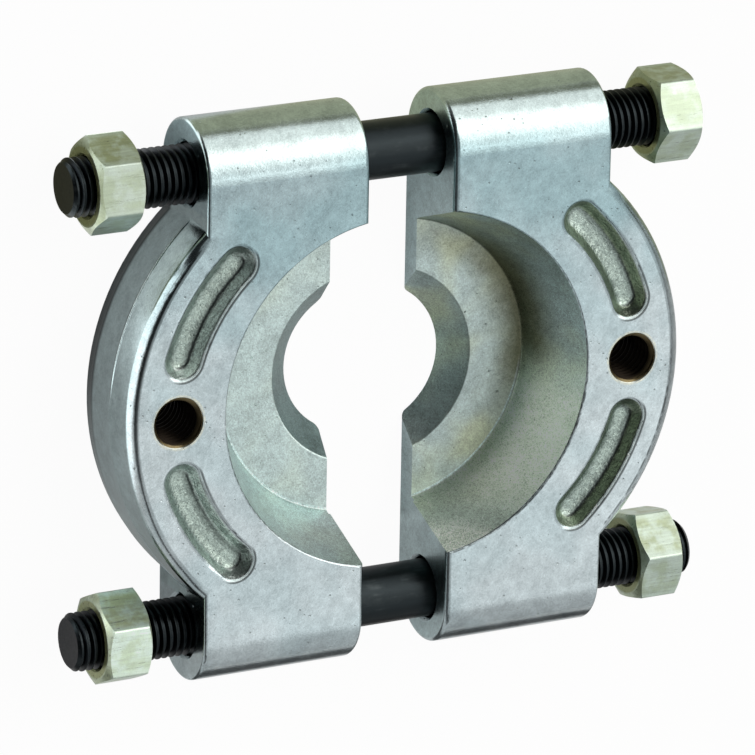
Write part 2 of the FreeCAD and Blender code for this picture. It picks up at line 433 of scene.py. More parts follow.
@dataclass(frozen=True)
class PlatedForging:
    """Bright zinc plate over a forging: smooth on the ground front, grained where it was blasted; its colours
    also carry painted light and shade.
    """

    form: JawForm = JawForm()
    left_wear: JawWear = JawWear(straw_share=0.20, corner_shade_share=0.0, edge_shade_share=0.20, rough_corner=0.0,
                                 pocket_wall_shading_colour=(0.60, 0.69, 0.66))
    right_wear: JawWear = JawWear(straw_share=0.80, corner_shade_share=0.90, edge_shade_share=0.75, rough_corner=0.35,
                                  pocket_wall_shading_colour=(0.34, 0.41, 0.32))
    cool_shaded_colour: Colour = (0.345, 0.485, 0.515)
    warm_lit_colour: Colour = (0.55, 0.63, 0.65)
    boss_top_highlight_colour: Colour = (0.50, 0.60, 0.60)
    rim_shade_colour: Colour = (0.40, 0.50, 0.51)
    blasted_colour: Colour = (0.52, 0.64, 0.63)
    straw_colour: Colour = (0.62, 0.69, 0.50)
    corner_shade_colour: Colour = (0.20, 0.20, 0.11)
    wall_light_colour: Colour = (0.88, 1.00, 0.82)
    painted_glint_colour: Colour = (0.90, 1.00, 0.88)
    nose_colour: Colour = (0.22, 0.30, 0.30)
    pocket_colour: Colour = (0.38, 0.47, 0.43)
    rubbed_highlight_colour: Colour = (0.86, 1.00, 1.00)
    mating_colour: Colour = (0.46, 0.58, 0.59)
    bloom_colour: Colour = (0.68, 0.68, 0.54)
    # Dark pits, and painted shade in creases and along edges.
    pit_and_shade_colour: Colour = (0.05, 0.06, 0.06)
    smooth_roughness: float = 0.21
    pit_depth: float = 0.09
    dent_depth: float = 0.22
    pocket_wall_rise: float = 0.60
    rim_edge_fall: float = 1.6
    parting_ridge: float = 0.30

    def build(self, side: Side) -> bpy.types.Material:
        """Wire the finish for one jaw.

        Args:
            side: The jaw.

        Returns:
            The material.
        """
        material, w = new_material(f"zinc_forging_{side.name.lower()}")
        jaw = JawMap(w, self.form, side)
        wear = self.right_wear if side is Side.RIGHT else self.left_wear
        colour = self.plate_colour(jaw, wear)
        # Painted shade: the rim's outer side gets a darker colour of its own.
        colour = w.mix(jaw.rim_side, colour, self.rim_shade_colour)
        colour = w.mix(w.times(jaw.mating, 0.85), colour, self.mating_colour)
        colour = self.in_pockets(jaw, wear, colour)
        rubbed_highlight, edge_shade_lines = self.edge_marks(jaw)
        # Bright edge lines: partly wear, partly painted highlight.
        colour = w.mix(w.times(rubbed_highlight, 0.9), colour, self.rubbed_highlight_colour)
        round_hole = w.band(jaw.from_hole, self.form.hole_radius + 0.3, 0.2, 0.45)
        bloom = w.times(round_hole, w.ramp(jaw.blotch, 0.35, 0.6, 0.2, 0.7))
        colour = w.mix(bloom, colour, self.bloom_colour)
        colour = w.mix(1.0, colour, self.tone(jaw), "MULTIPLY")
        colour = w.mix(w.times(jaw.pits, 0.45), colour, self.pit_and_shade_colour)
        # Painted shade: dark broken lines along the recess and rim edges.
        colour = w.mix(w.times(edge_shade_lines, wear.edge_shade_share), colour, self.pit_and_shade_colour)
        roughness = w.add(
            self.smooth_roughness,
            w.times(jaw.blasted, 0.18),
            w.times(jaw.pocket, 0.10),
            w.times(jaw.mating, 0.10),
            w.times(rubbed_highlight, 0.45),
            w.times(jaw.mouth_corner, wear.rough_corner),
            w.swing(jaw.cloud, 0.16),
        )
        metal_output(w, colour, roughness, w.bump(self.height(jaw)))
        return material

    def plate_colour(self, jaw: JawMap, wear: JawWear) -> Socket:
        """Colour of the open plate, cool and darker above and warmer and lighter below as painted light, and
        of the recess in it with its stains and its painted shade and light.

        Args:
            jaw: The jaw's places and areas.
            wear: The jaw's wear.

        Returns:
            The colour.
        """
        w = jaw.w
        # Painted light: the plate is painted lighter and warmer towards the lower end, with warm clouds at
        # random.
        lower = w.ramp(jaw.up, 60.0, -5.0)
        warmth_and_light = w.add(w.times(lower, 0.85), w.ramp(jaw.broad, 0.35, 0.65, -0.15, 0.3))
        colour = w.mix(warmth_and_light, self.cool_shaded_colour, self.warm_lit_colour)
        # Painted highlight: the upper boss's round top, where it faces up, is painted lighter and whiter.
        boss_top_highlight = w.times(w.ramp(jaw.facing_up, 0.10, 0.55), w.ramp(jaw.up, 58.0, 64.0))
        colour = w.mix(w.times(boss_top_highlight, 0.9), colour, self.boss_top_highlight_colour)
        straw = w.times(w.ramp(jaw.broad, 0.42, 0.60), wear.straw_share)
        colour = w.mix(jaw.blasted, colour, w.mix(straw, self.blasted_colour, self.straw_colour))
        # Painted shade: the recess is darkened near the corner of its floor and wall, towards the middle and
        # low down; only the right jaw gets it.
        from_corner = w.math("ABSOLUTE", w.minus(jaw.from_recess, self.form.recess_floor_radius + 0.5))
        near_corner = w.ramp(w.add(from_corner, w.swing(jaw.cloud, 6.0)), 13.0, 0.0)
        middle = w.times(w.ramp(jaw.up, -24.0, -2.0), w.ramp(jaw.up, 42.0, 22.0, 0.35, 1.0))
        corner_shade = w.times(jaw.blasted, near_corner, middle, w.ramp(jaw.z, 24.0, 11.0))
        colour = w.mix(w.times(corner_shade, wear.corner_shade_share), colour, self.corner_shade_colour)
        if jaw.side is Side.LEFT:
            return w.mix(jaw.nose, colour, self.nose_colour)
        # Painted light: the lit lower part of the right jaw's recess wall is painted pale, less so near the
        # mouth.
        lit_wall = w.times(jaw.wall, w.ramp(jaw.up, 4.0, -16.0), w.minus(1.0, jaw.nose))
        wall_light = w.times(lit_wall, w.ramp(jaw.up, -44.0, -33.0, 0.40, 1.0))
        colour = w.mix(wall_light, colour, self.wall_light_colour)
        # Painted glint: pale speckles at the right jaw's lower mouth corner.
        painted_glint = w.times(jaw.mouth_corner, w.ramp(jaw.fine, 0.36, 0.62))
        return w.mix(painted_glint, colour, self.painted_glint_colour)

    def in_pockets(self, jaw: JawMap, wear: JawWear, colour: Socket) -> Socket:
        """Lay the pockets over a colour, with painted shade in a crease and in a line along the mouth, on
        their shaded side.

        Args:
            jaw: The jaw's places and areas.
            wear: The jaw's wear.
            colour: The colour so far.

        Returns:
            The new colour.
        """
        w, half = jaw.w, self.form.pocket_half_width
        # Painted light and shade: pocket walls are painted lighter than the floor on the left jaw and darker
        # on the right jaw.
        tint = w.mix(w.ramp(jaw.normal_z, 0.9, 0.75), self.pocket_colour, wear.pocket_wall_shading_colour)
        colour = w.mix(jaw.pocket, colour, tint)
        # Painted shade: a dark crease where floor meets wall, and a dark line just outside the mouth.
        wavy = w.add(jaw.from_pocket, w.swing(jaw.blotch, 0.8))
        crease_shade = w.times(w.band(wavy, half - 2.6, 0.10, 0.35), jaw.shaded_edge)
        mouth_shade_line = w.times(w.band(jaw.from_pocket, half + 0.65, 0.15, 0.3), jaw.shaded_edge)
        return w.mix(w.times(w.math("MAXIMUM", crease_shade, mouth_shade_line), 0.8), colour, self.pit_and_shade_colour)

    def edge_marks(self, jaw: JawMap) -> tuple[Socket, Socket]:
        """Marks along the edges: bright lines, partly worn bright and partly painted highlight, and dark
        broken lines of painted shade.

        Args:
            jaw: The jaw's places and areas.

        Returns:
            The bright lines and the dark lines, each 1 there and 0 elsewhere.
        """
        w, form = jaw.w, self.form
        mouth = w.times(w.band(jaw.from_pocket, form.pocket_half_width + 0.05, 0.12, 0.25), jaw.shaded_edge)
        corner = w.band(jaw.from_recess, form.recess_floor_radius - 0.45, 0.14, 0.25)
        corner = w.times(jaw.blasted, corner, w.ramp(jaw.up, -2.0, -14.0))
        parting_line = w.times(jaw.upper_rim, w.band(jaw.z, form.parting_height, 0.12, 0.25))
        rubbed_highlight = w.math("MAXIMUM", w.math("MAXIMUM", mouth, corner), w.times(parting_line, 0.7))
        # Painted shade lines along the recess edge and the rim edge, broken up and kept to the lower part.
        at_recess_edge = w.band(jaw.from_recess, form.recess_radius + 0.35, 0.12, 0.25)
        beside_boss = w.ramp(jaw.x, form.boss_end_x + 0.5, form.boss_end_x + 1.5)
        at_rim_edge = w.times(w.band(jaw.from_rim, form.rim_radius - 2.9, 0.12, 0.3), beside_boss)
        edge_shade_patches = w.times(w.ramp(jaw.up, 12.0, -8.0), w.ramp(jaw.blotch, 0.42, 0.58))
        edges = w.math("MAXIMUM", at_recess_edge, at_rim_edge)
        return rubbed_highlight, w.times(edges, edge_shade_patches, w.ramp(jaw.normal_z, 0.5, 0.8))

    def tone(self, jaw: JawMap) -> Socket:
        """How light the colour is from place to place: clouds and grain, painted shade on the rim's back
        edge, on the boss ends and on the right jaw's recess floor, and a little darker at the top and, on the
        right jaw, at the bottom.

        Args:
            jaw: The jaw's places and areas.

        Returns:
            A factor near 1.
        """
        w, form = jaw.w, self.form
        grain_depth = w.add(
            0.22,
            w.times(jaw.blasted, 0.18),
            w.times(jaw.pocket, 0.50),
            w.times(jaw.mating, 0.10),
        )
        tone = w.add(
            w.ramp(jaw.cloud, 0.25, 0.75, 0.86, 1.12),
            w.ramp(jaw.blotch, 0.25, 0.75, -0.10, 0.10),
            w.swing(jaw.grain, w.times(grain_depth, 3.0)),
            w.times(w.swing(jaw.fine, jaw.wall), 1.6),
        )
        # Painted shade along the rim's back edge, strongest on its upper part.
        back_edge_shade = w.times(jaw.rim_side, w.ramp(jaw.z, 7.0, 5.2), w.ramp(jaw.up, -30.0, 12.0, 0.2, 1.0))
        # Painted shade on the boss end faces.
        boss_end_shade = w.times(
            w.ramp(jaw.normal_x, 0.90, 0.985),
            w.ramp(jaw.x, form.boss_end_x - 1.0, form.boss_end_x - 0.7),
            w.minus(1.0, jaw.between_bosses),
        )
        tone = w.times(
            tone,
            w.minus(1.0, w.times(back_edge_shade, 0.85)),
            w.minus(1.0, w.times(boss_end_shade, 0.16)),
            w.ramp(jaw.up, 60.0, 46.0, 0.93, 1.0),
        )
        if jaw.side is Side.LEFT:
            return tone
        # Painted shade on the right jaw's recess floor.
        lip = w.times(jaw.blasted, w.band(jaw.z, form.lip_thickness, 0.1, 0.3))
        return w.times(tone, w.ramp(jaw.up, -60.0, -48.0, 0.93, 1.0), w.minus(1.0, w.times(lip, 0.12)))

    def height(self, jaw: JawMap) -> Socket:
        """Height of the surface: unevenness of five sizes, pits, dents, and edges that lean over.

        Args:
            jaw: The jaw's places and areas.

        Returns:
            The height in mm.
        """
        w, form = jaw.w, self.form
        dents = w.pits(jaw.place, spacing=2.6, radius=0.42, share=0.35, seed=29.3)
        dents = w.times(dents, w.ramp(jaw.cloud, 0.48, 0.58))
        pocket_wall = w.ramp(jaw.from_pocket, form.pocket_half_width - 2.7, form.pocket_half_width + 0.3)
        from_parting = w.math("ABSOLUTE", w.minus(jaw.z, form.parting_height))
        uneven_rim = w.add(jaw.from_rim, w.swing(jaw.blotch, 0.10))
        fallen_rim_edge = w.times(
            w.ramp(uneven_rim, form.rim_radius - 3.5, form.rim_radius - 0.5),
            w.ramp(jaw.off_middle, form.stud_offset - 12.5, form.stud_offset - 21.5),
            w.ramp(jaw.up, -40.0, -5.0, 0.30, 1.0),
        )
        return w.add(
            w.swing(jaw.broad, 0.22),
            w.swing(jaw.cloud, w.add(0.06, w.times(jaw.nose, 0.16))),
            w.swing(jaw.blotch, w.add(0.016, w.times(jaw.pocket, 0.30))),
            w.swing(jaw.grain, w.add(0.022, w.times(jaw.blasted, 0.050), w.times(jaw.pocket, 0.10))),
            w.swing(jaw.fine, w.add(0.006, w.times(jaw.blasted, 0.014))),
            w.times(jaw.pits, -self.pit_depth),
            w.times(dents, -self.dent_depth),
            w.times(pocket_wall, self.pocket_wall_rise),
            w.times(fallen_rim_edge, -self.rim_edge_fall),
            w.times(jaw.upper_rim, w.ramp(from_parting, 0.7, 0.0), self.parting_ridge),
        )


@dataclass(frozen=True)
class BlackOxide:
    """Oiled black oxide on the studs, worn in long streaks, and painted darkest on the end faces as shade."""

    colour: Colour = (0.025, 0.032, 0.035)
    worn_colour: Colour = (0.066, 0.080, 0.084)
    end_shade_colour: Colour = (0.009, 0.011, 0.014)
    roughness: float = 0.36

    def build(self) -> bpy.types.Material:
        """Wire the finish.

        Returns:
            The material.
        """
        material, w = new_material("black_oxide")
        place, facing = w.surface_point()
        drawn = w.stretch(place, (0.12, 1.0, 1.0))
        cloud = w.noise(place, size=6.0, detail=3.0, rough=0.6, seed=11.0)
        streak = w.noise(drawn, size=0.9, detail=2.0, rough=0.6, seed=12.0)
        grain = w.noise(place, size=0.35, detail=2.0, rough=0.6, seed=13.0)
        worn = w.times(w.ramp(cloud, 0.45, 0.75), w.ramp(streak, 0.40, 0.75))
        colour = w.mix(worn, self.colour, self.worn_colour)
        along_axis, _, _ = w.split(facing)
        # Painted shade: the end faces are painted darkest.
        colour = w.mix(w.ramp(w.math("ABSOLUTE", along_axis), 0.8, 0.95), colour, self.end_shade_colour)
        roughness = w.add(self.roughness, w.swing(streak, 0.20))
        height = w.add(w.swing(streak, 0.010), w.swing(grain, 0.012))
        metal_output(w, colour, roughness, w.bump(height))
        return material


@dataclass(frozen=True)
class PaleZincNut:
    """Pale yellow zinc plate on a nut: worn whiter on its corners, olive at its ends, and an olive mottle on
    top that is partly painted shade.
    """

    colour: Colour = (0.51, 0.62, 0.47)
    pale_colour: Colour = (0.64, 0.77, 0.68)
    olive_colour: Colour = (0.32, 0.35, 0.15)
    metallic: float = 0.65
    roughness: float = 0.30
    corner_radius: float = 13.3
    face_radius: float = 10.9

    def build(self, name: str, centre: Vector, seed: float, level: float) -> bpy.types.Material:
        """Wire the finish for one nut.

        Args:
            name: The nut's node.
            centre: The nut's middle, in metres.
            seed: Shifts the pattern, so that no two nuts are alike.
            level: How light it is, partly its plating and partly painted light, around 1.

        Returns:
            The material.
        """
        material, w = new_material(f"pale_zinc_{name}")
        in_object, facing = w.surface_point()
        moved = w.node("ShaderNodeMapping")
        w.feed(moved.inputs["Vector"], in_object)
        moved.inputs["Location"].default_value = -centre / MM
        place = moved.outputs[0]
        _, y, z = w.split(place)
        radius = w.length(y, z)
        cloud = w.noise(place, size=5.0, detail=3.0, rough=0.6, seed=seed)
        drawn = w.stretch(place, (0.10, 1.0, 1.0))
        streak = w.noise(drawn, size=0.8, detail=3.0, rough=0.6, seed=seed + 1.0)
        grain = w.noise(place, size=0.30, detail=2.0, rough=0.6, seed=seed + 2.0)
        corner = w.ramp(radius, self.corner_radius - 0.9, self.corner_radius - 0.1)
        end_face = w.ramp(radius, self.face_radius + 0.1, self.face_radius - 0.7)
        along_axis, upwards, _ = w.split(facing)
        end_side = w.ramp(w.math("ABSOLUTE", along_axis), 0.3, 0.7, 0.0, 0.4)
        colour = w.mix(w.ramp(cloud, 0.40, 0.65), self.colour, self.pale_colour)
        colour = w.mix(w.math("MAXIMUM", w.times(end_face, 0.9), end_side), colour, self.olive_colour)
        # Olive mottle on the flats that face up, partly painted shade.
        mottle_and_shade = w.times(w.ramp(upwards, 0.5, 0.8), w.ramp(cloud, 0.62, 0.40, 0.15, 0.60))
        colour = w.mix(mottle_and_shade, colour, self.olive_colour)
        colour = w.mix(w.times(corner, 0.60), colour, self.pale_colour)
        tone = w.add(w.ramp(streak, 0.25, 0.75, 0.84, 1.12), w.swing(grain, 0.40))
        colour = w.mix(1.0, colour, w.times(tone, level), "MULTIPLY")
        roughness = w.add(self.roughness, w.swing(streak, 0.18))
        height = w.add(w.swing(streak, 0.015), w.swing(grain, 0.008), w.swing(cloud, 0.06))
        metal_output(w, colour, roughness, w.bump(height), self.metallic)
        return material


@dataclass(frozen=True)
class CutThread:
    """Cut thread in a puller hole: painted nearly black as shade deep in the hole, with a golden bloom near
    the mouth.
    """

    # Nearly black: painted shade deep in the hole.
    colour: Colour = (0.010, 0.008, 0.006)
    bloom_colour: Colour = (0.26, 0.21, 0.11)
    roughness: float = 0.30

    def build(self) -> bpy.types.Material:
        """Wire the finish.

        Returns:
            The material.
        """
        material, w = new_material("cut_thread")
        place, _ = w.surface_point()
        _, _, z = w.split(place)
        cloud = w.noise(place, size=3.0, detail=3.0, rough=0.6, seed=21.0)
        bloom = w.times(w.ramp(z, 28.0, 29.7), w.ramp(cloud, 0.2, 0.6, 0.6, 1.0))
        colour = w.mix(bloom, self.colour, self.bloom_colour)
        height = w.swing(w.noise(place, size=0.4, detail=2.0, rough=0.6, seed=22.0), 0.02)
        metal_output(w, colour, self.roughness, w.bump(height))
        return material


def add_object(name: str, data: bpy.types.ID) -> bpy.types.Object:
    """Put a mesh or a camera into the scene.

    Args:
        name: The object's name.
        data: What it shows.

    Returns:
        The new object.
    """
    made = bpy.data.objects.new(name, data)
    bpy.context.scene.collection.objects.link(made)
    return made


def piece(name: str, corners: np.ndarray, faces: np.ndarray,
          material: bpy.types.Material) -> bpy.types.Object:
    """Put a mesh into the scene, merged, smooth and with its sharper edges kept.

    Args:
        name: The piece's name.
        corners: Points in metres, one row each.
        faces: Four corner numbers for each face.
        material: Its finish.

    Returns:
        The new object.
    """
    mesh = bpy.data.meshes.new(name)
    mesh.from_pydata(corners.tolist(), [], faces.tolist())
    merge_distance = 1e-7
    sharp_angle = math.radians(35.0)
    work = bmesh.new()
    work.from_mesh(mesh)
    bmesh.ops.remove_doubles(work, verts=work.verts, dist=merge_distance)
    bmesh.ops.dissolve_degenerate(work, edges=work.edges, dist=merge_distance)
    work.to_mesh(mesh)
    work.free()
    mesh.polygons.foreach_set("use_smooth", np.ones(len(mesh.polygons), bool))
    mesh.set_sharp_from_angle(angle=sharp_angle)
    mesh.materials.append(material)
    return add_object(name, mesh)


def grid_faces(rows: int, columns: int, shift: int = 0) -> np.ndarray:
    """Faces of a tube's grid, whose last column joins the first.

    Args:
        rows: Points along the tube.
        columns: Points round it.
        shift: How many rows further on the join meets, for a grid that follows a helix.

    Returns:
        Four corner numbers for each face.
    """
    row = np.arange(rows - 1 - shift)[:, None]
    column = np.arange(columns)[None, :]
    following = (column + 1) % columns
    step = np.where(column == columns - 1, shift, 0)
    quads = np.stack([
        row * columns + column,
        (row + step) * columns + following,
        (row + step + 1) * columns + following,
        (row + 1) * columns + column,
    ], axis=-1)
    return quads.reshape(-1, 4)


def tube(along: np.ndarray, radii: np.ndarray, columns: int) -> tuple[np.ndarray, np.ndarray]:
    """Surface turned about X: at each place along X a circle of the radius given there.

    Args:
        along: Places along the axis.
        radii: The radius at each.
        columns: Points round each circle.

    Returns:
        Points and faces.
    """
    angle = np.arange(columns) * FULL_TURN / columns
    points = np.stack([
        np.repeat(along[:, None], columns, axis=1),
        radii[:, None] * np.cos(angle),
        radii[:, None] * np.sin(angle),
    ], axis=-1)
    return points.reshape(-1, 3), grid_faces(len(along), columns)


@dataclass(frozen=True)
class ThreadForm:
    """Metric thread: flat crest, straight flanks and flat root, as shares of the pitch."""

    pitch: float = 2.0
    steps_per_pitch: int = 16
    crest_share: float = 2 / 16
    root_share: float = 4 / 16

    def fullness(self, phase: np.ndarray) -> np.ndarray:
        """How far the thread stands up at a phase: 1 on the crest, 0 in the root, straight between.

        Args:
            phase: Place along the pitch, from 0 at the crest's start.

        Returns:
            The fullness, one value for each phase.
        """
        flank = (1.0 - self.crest_share - self.root_share) / 2
        stops = np.cumsum([0.0, self.crest_share, flank, self.root_share, flank])
        return np.interp(phase % 1.0, stops, [1.0, 1.0, 0.0, 0.0, 1.0])

    def surface(self, start: float, end: float, radius_at: Callable[[np.ndarray, np.ndarray], np.ndarray],
                columns: int) -> tuple[np.ndarray, np.ndarray]:
        """Threaded surface about X, on a grid whose rows follow the helix.

        A row's place along X is its own place plus the pitch times the share of a turn, held between
        the two ends. Its radius comes from radius_at, given that place and the thread's fullness.

        Args:
            start: Where the thread starts along X.
            end: Where it ends.
            radius_at: Radius from the place along X and the fullness.
            columns: Points round the thread.

        Returns:
            Points and faces.
        """
        step = self.pitch / self.steps_per_pitch
        margin = self.steps_per_pitch + 1
        rows = int(math.ceil((end - start) / step)) + 2 * margin
        own_place = start + (np.arange(rows) - margin) * step
        share = np.arange(columns) / columns
        along = np.clip(own_place[:, None] + self.pitch * share[None, :], start, end)
        full = self.fullness(np.arange(rows) / self.steps_per_pitch)[:, None]
        radius = radius_at(along, np.repeat(full, columns, axis=1))
        angle = share[None, :] * FULL_TURN
        points = np.stack([along, radius * np.cos(angle), radius * np.sin(angle)], axis=-1)
        return points.reshape(-1, 3), grid_faces(rows, columns, self.steps_per_pitch)


def joined(parts: list[tuple[np.ndarray, np.ndarray]]) -> tuple[np.ndarray, np.ndarray]:
    """Put several surfaces into one list of points and one of faces.

    Args:
        parts: Points and faces of each.

    Returns:
        All points and all faces.
    """
    points = []
    faces = []
    count = 0
    for part_points, part_faces in parts:
        points.append(part_points)
        faces.append(part_faces + count)
        count += len(part_points)
    return np.concatenate(points), np.concatenate(faces)


@dataclass
class ThreadedStud:
    """Double-ended stud with a real thread at each end, in place of its plain cylinder."""

    row: Row
    radius: float = 8.0
    thread_depth: float = 1.2
    thread_length: float = 50.0
    end_chamfer: float = 1.3
    end_radius: float = 6.7
    runout: float = 4.0
    columns: int = 72
    form: ThreadForm = field(default_factory=ThreadForm)

    @property
    def node(self) -> str:
        """The CAD node that the stud stands for."""
        return f"{self.row.name.lower()}_stud"

    def left_half(self, left: float, middle: float) -> list[tuple[np.ndarray, np.ndarray]]:
        """Surfaces from the left end to the middle of the stud: end face, thread and plain shank.

        Args:
            left: The left end along X, in mm.
            middle: The stud's middle along X, in mm.

        Returns:
            Points and faces of each surface.
        """
        thread_end = left + self.thread_length

        def radius_at(along: np.ndarray, full: np.ndarray) -> np.ndarray:
            """Crest at the stud's radius, roots fading out inwards, all inside the end's cone."""
            fade = np.clip((thread_end - along) / self.runout, 0.0, 1.0)
            threaded = self.radius - self.thread_depth * (1.0 - full) * fade
            cone = self.end_radius + (along - left) * (self.radius - self.end_radius) / self.end_chamfer
            return np.minimum(threaded, cone)

        thread = self.form.surface(left, thread_end, radius_at, self.columns)
        shank_places = np.linspace(thread_end, middle, 12)
        shank = tube(shank_places, np.full(12, self.radius), self.columns)
        face_radii = np.linspace(0.0, self.end_radius, 8)
        end_face = tube(np.full(8, left), face_radii, self.columns)
        return [end_face, thread, shank]

    def build(self, material: bpy.types.Material) -> bpy.types.Object:
        """Make the stud where its CAD node lies, dress it and let it ride with its body.

        Args:
            material: Its finish.

        Returns:
            The piece.
        """
        low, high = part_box(self.node)
        left, right = low.x / MM, high.x / MM
        middle = (left + right) / 2
        points, faces = joined(self.left_half(left, middle))
        turned_round = points * np.array([-1.0, -1.0, 1.0]) + np.array([2 * middle, 0.0, 0.0])
        points, faces = joined([(points, faces), (turned_round, faces)])
        centre = (low + high) / 2
        points = points * MM + np.array([0.0, centre.y, centre.z])
        made = piece(f"{self.node}_threaded", points, faces, material)
        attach(made, self.node)
        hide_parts(self.node)
        return made


@dataclass
class PullerThread:
    """Thread of a puller hole: a thin sleeve that lines the jaw's plain hole."""

    side: Side
    form: JawForm = field(default_factory=JawForm)
    thread: ThreadForm = field(default_factory=ThreadForm)
    crest_radius: float = 5.95
    root_radius: float = 6.96
    outer_radius: float = 7.05
    columns: int = 72

    def surfaces(self) -> list[tuple[np.ndarray, np.ndarray]]:
        """Inner thread with a lead-in cone at both mouths, and the sleeve's hidden outer wall.

        Returns:
            Points and faces of each, with the hole's axis along X.
        """
        start = self.form.hole_chamfer
        end = self.form.thickness - self.form.hole_chamfer

        def radius_at(along: np.ndarray, full: np.ndarray) -> np.ndarray:
            """Crests stand in towards the axis, cut back by a 45 degree cone from each mouth."""
            threaded = self.root_radius - (self.root_radius - self.crest_radius) * full
            cone = self.root_radius - np.minimum(along - start, end - along)
            return np.maximum(threaded, cone)

        points, faces = self.thread.surface(start, end, radius_at, self.columns)
        wall_places = np.array([start, start, end, end])
        wall_radii = np.array([self.root_radius, self.outer_radius, self.outer_radius, self.root_radius])
        wall = tube(wall_places, wall_radii, self.columns)
        return [(points, faces[:, ::-1]), wall]

    def build(self, material: bpy.types.Material) -> bpy.types.Object:
        """Make the sleeve upright in its jaw's hole and let it ride with the jaw.

        Args:
            material: Its finish.

        Returns:
            The piece.
        """
        points, faces = joined(self.surfaces())
        upright = points[:, [1, 2, 0]]
        place = np.array([self.side.value * self.form.hole_x, 0.0, 0.0])
        made = piece(f"{self.side.name.lower()}_puller_thread", (upright + place) * MM, faces, material)
        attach(made, f"{self.side.name.lower()}_jaw")
        return made


@dataclass
class Jaws:
    """Both forgings, which keep their CAD form and get their plating."""

    finish: PlatedForging = field(default_factory=PlatedForging)

    def build(self) -> list[bpy.types.Object]:
        """Dress both jaws.

        Returns:
            The jaws' objects.
        """
        dressed = []
        for side in Side:
            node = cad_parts[f"{side.name.lower()}_jaw"]
            dress(node, self.finish.build(side))
            dressed.append(node)
        return dressed


@dataclass
class Nuts:
    """The four hex nuts, which keep their CAD form and get their plating.

    Each nut's lightness, partly its plating and partly painted light, is given in turn: upper left, upper
    right, lower left and lower right.
    """

    finish: PaleZincNut = field(default_factory=PaleZincNut)
    plating_and_light_levels: tuple[float, ...] = (0.80, 0.88, 1.32, 0.95)
    first_seed: float = 30.0
    seed_step: float = 7.0

    def build(self) -> list[bpy.types.Object]:
        """Dress the nuts, each with a pattern of its own.

        Returns:
            The nuts' objects.
        """
        dressed = []
        for row in Row:
            for side in Side:
                name = f"{row.name.lower()}_{side.name.lower()}_nut"
                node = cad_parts[name]
                low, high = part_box(name)
                seed = self.first_seed + self.seed_step * len(dressed)
                level = self.plating_and_light_levels[len(dressed)]
                dress(node, self.finish.build(name, (low + high) / 2, seed, level))
                dressed.append(node)
        return dressed


def dress(node: bpy.types.Object, material: bpy.types.Material) -> None:
    """Give a CAD node one material all over.

    Args:
        node: The CAD node's object.
        material: Its finish.
    """
    if node.material_slots:
        for material_slot in node.material_slots:
            material_slot.material = material
    else:
        node.data.materials.append(material)


def rolled(right: Vector, up: Vector, degrees: float) -> tuple[Vector, Vector]:
    """Turn two directions in their own plane, from right towards up.

    Args:
        right: The first direction.
        up: The second, square to the first.
        degrees: How far.

    Returns:
        Both directions, turned.
    """
    turn = math.radians(degrees)
    rolled_right = right * math.cos(turn) + up * math.sin(turn)
    rolled_up = up * math.cos(turn) - right * math.sin(turn)
    return rolled_right, rolled_up


@dataclass(frozen=True)
class SoftPanel:
    """A soft rectangular panel of light or dark, far off in one direction. All sizes are angles."""

    azimuth: float
    elevation: float
    half_width: float
    half_height: float
    softness: float
    level: float
    roll: float = 0.0
    tint: Colour = WHITE

    def axes(self) -> tuple[Vector, Vector, Vector]:
        """Return the panel's direction and its own right and up."""
        azimuth = math.radians(self.azimuth)
        elevation = math.radians(self.elevation)
        flat = Vector((math.cos(azimuth), math.sin(azimuth), 0.0))
        towards = flat * math.cos(elevation) + Vector((0.0, 0.0, math.sin(elevation)))
        right = Vector((math.sin(azimuth), -math.cos(azimuth), 0.0))
        return (towards, *rolled(right, right.cross(towards), self.roll))

    def mask(self, w: Wiring, direction: Socket) -> Socket:
        """How much of a direction lies on the panel, from its angles to the panel's middle.

        Args:
            w: The world's wiring.
            direction: The direction looked at.

        Returns:
            1 on the panel and 0 off it.
        """
        parts = []
        for axis in self.axes():
            dot = w.node("ShaderNodeVectorMath", operation="DOT_PRODUCT")
            w.feed(dot.inputs[0], direction)
            dot.inputs[1].default_value = axis
            parts.append(dot.outputs["Value"])
        ahead, across, above = parts
        masks = []
        for part, half in ((across, self.half_width), (above, self.half_height)):
            angle = w.math("ARCTAN2", w.math("ABSOLUTE", part), ahead)
            outer, inner = math.radians(half + self.softness), math.radians(half - self.softness)
            masks.append(w.ramp(angle, outer, inner))
        return w.times(*masks)


@dataclass(frozen=True)
class FloorCard:
    """A bright or dark card that lies on the floor, seen in the metal alone: a bright one is a painted
    reflection of light, a dark one painted shade. Sizes are in mm.
    """

    azimuth: float
    distance: float
    half_depth: float
    half_length: float
    softness: float
    level: float
    tint: Colour = WHITE

    def mask(self, w: Wiring, place: Socket) -> Socket:
        """How much of a place on the floor the card covers.

        Args:
            w: The floor's wiring.
            place: The place on the floor, in mm.

        Returns:
            1 on the card and 0 off it.
        """
        azimuth = math.radians(self.azimuth)
        x, y, _ = w.split(place)
        along = w.add(w.times(x, math.cos(azimuth)), w.times(y, math.sin(azimuth)))
        across = w.minus(w.times(y, math.cos(azimuth)), w.times(x, math.sin(azimuth)))
        return w.times(
            w.band(along, self.distance, self.half_depth, self.softness),
            w.band(across, 0.0, self.half_length, self.softness),
        )


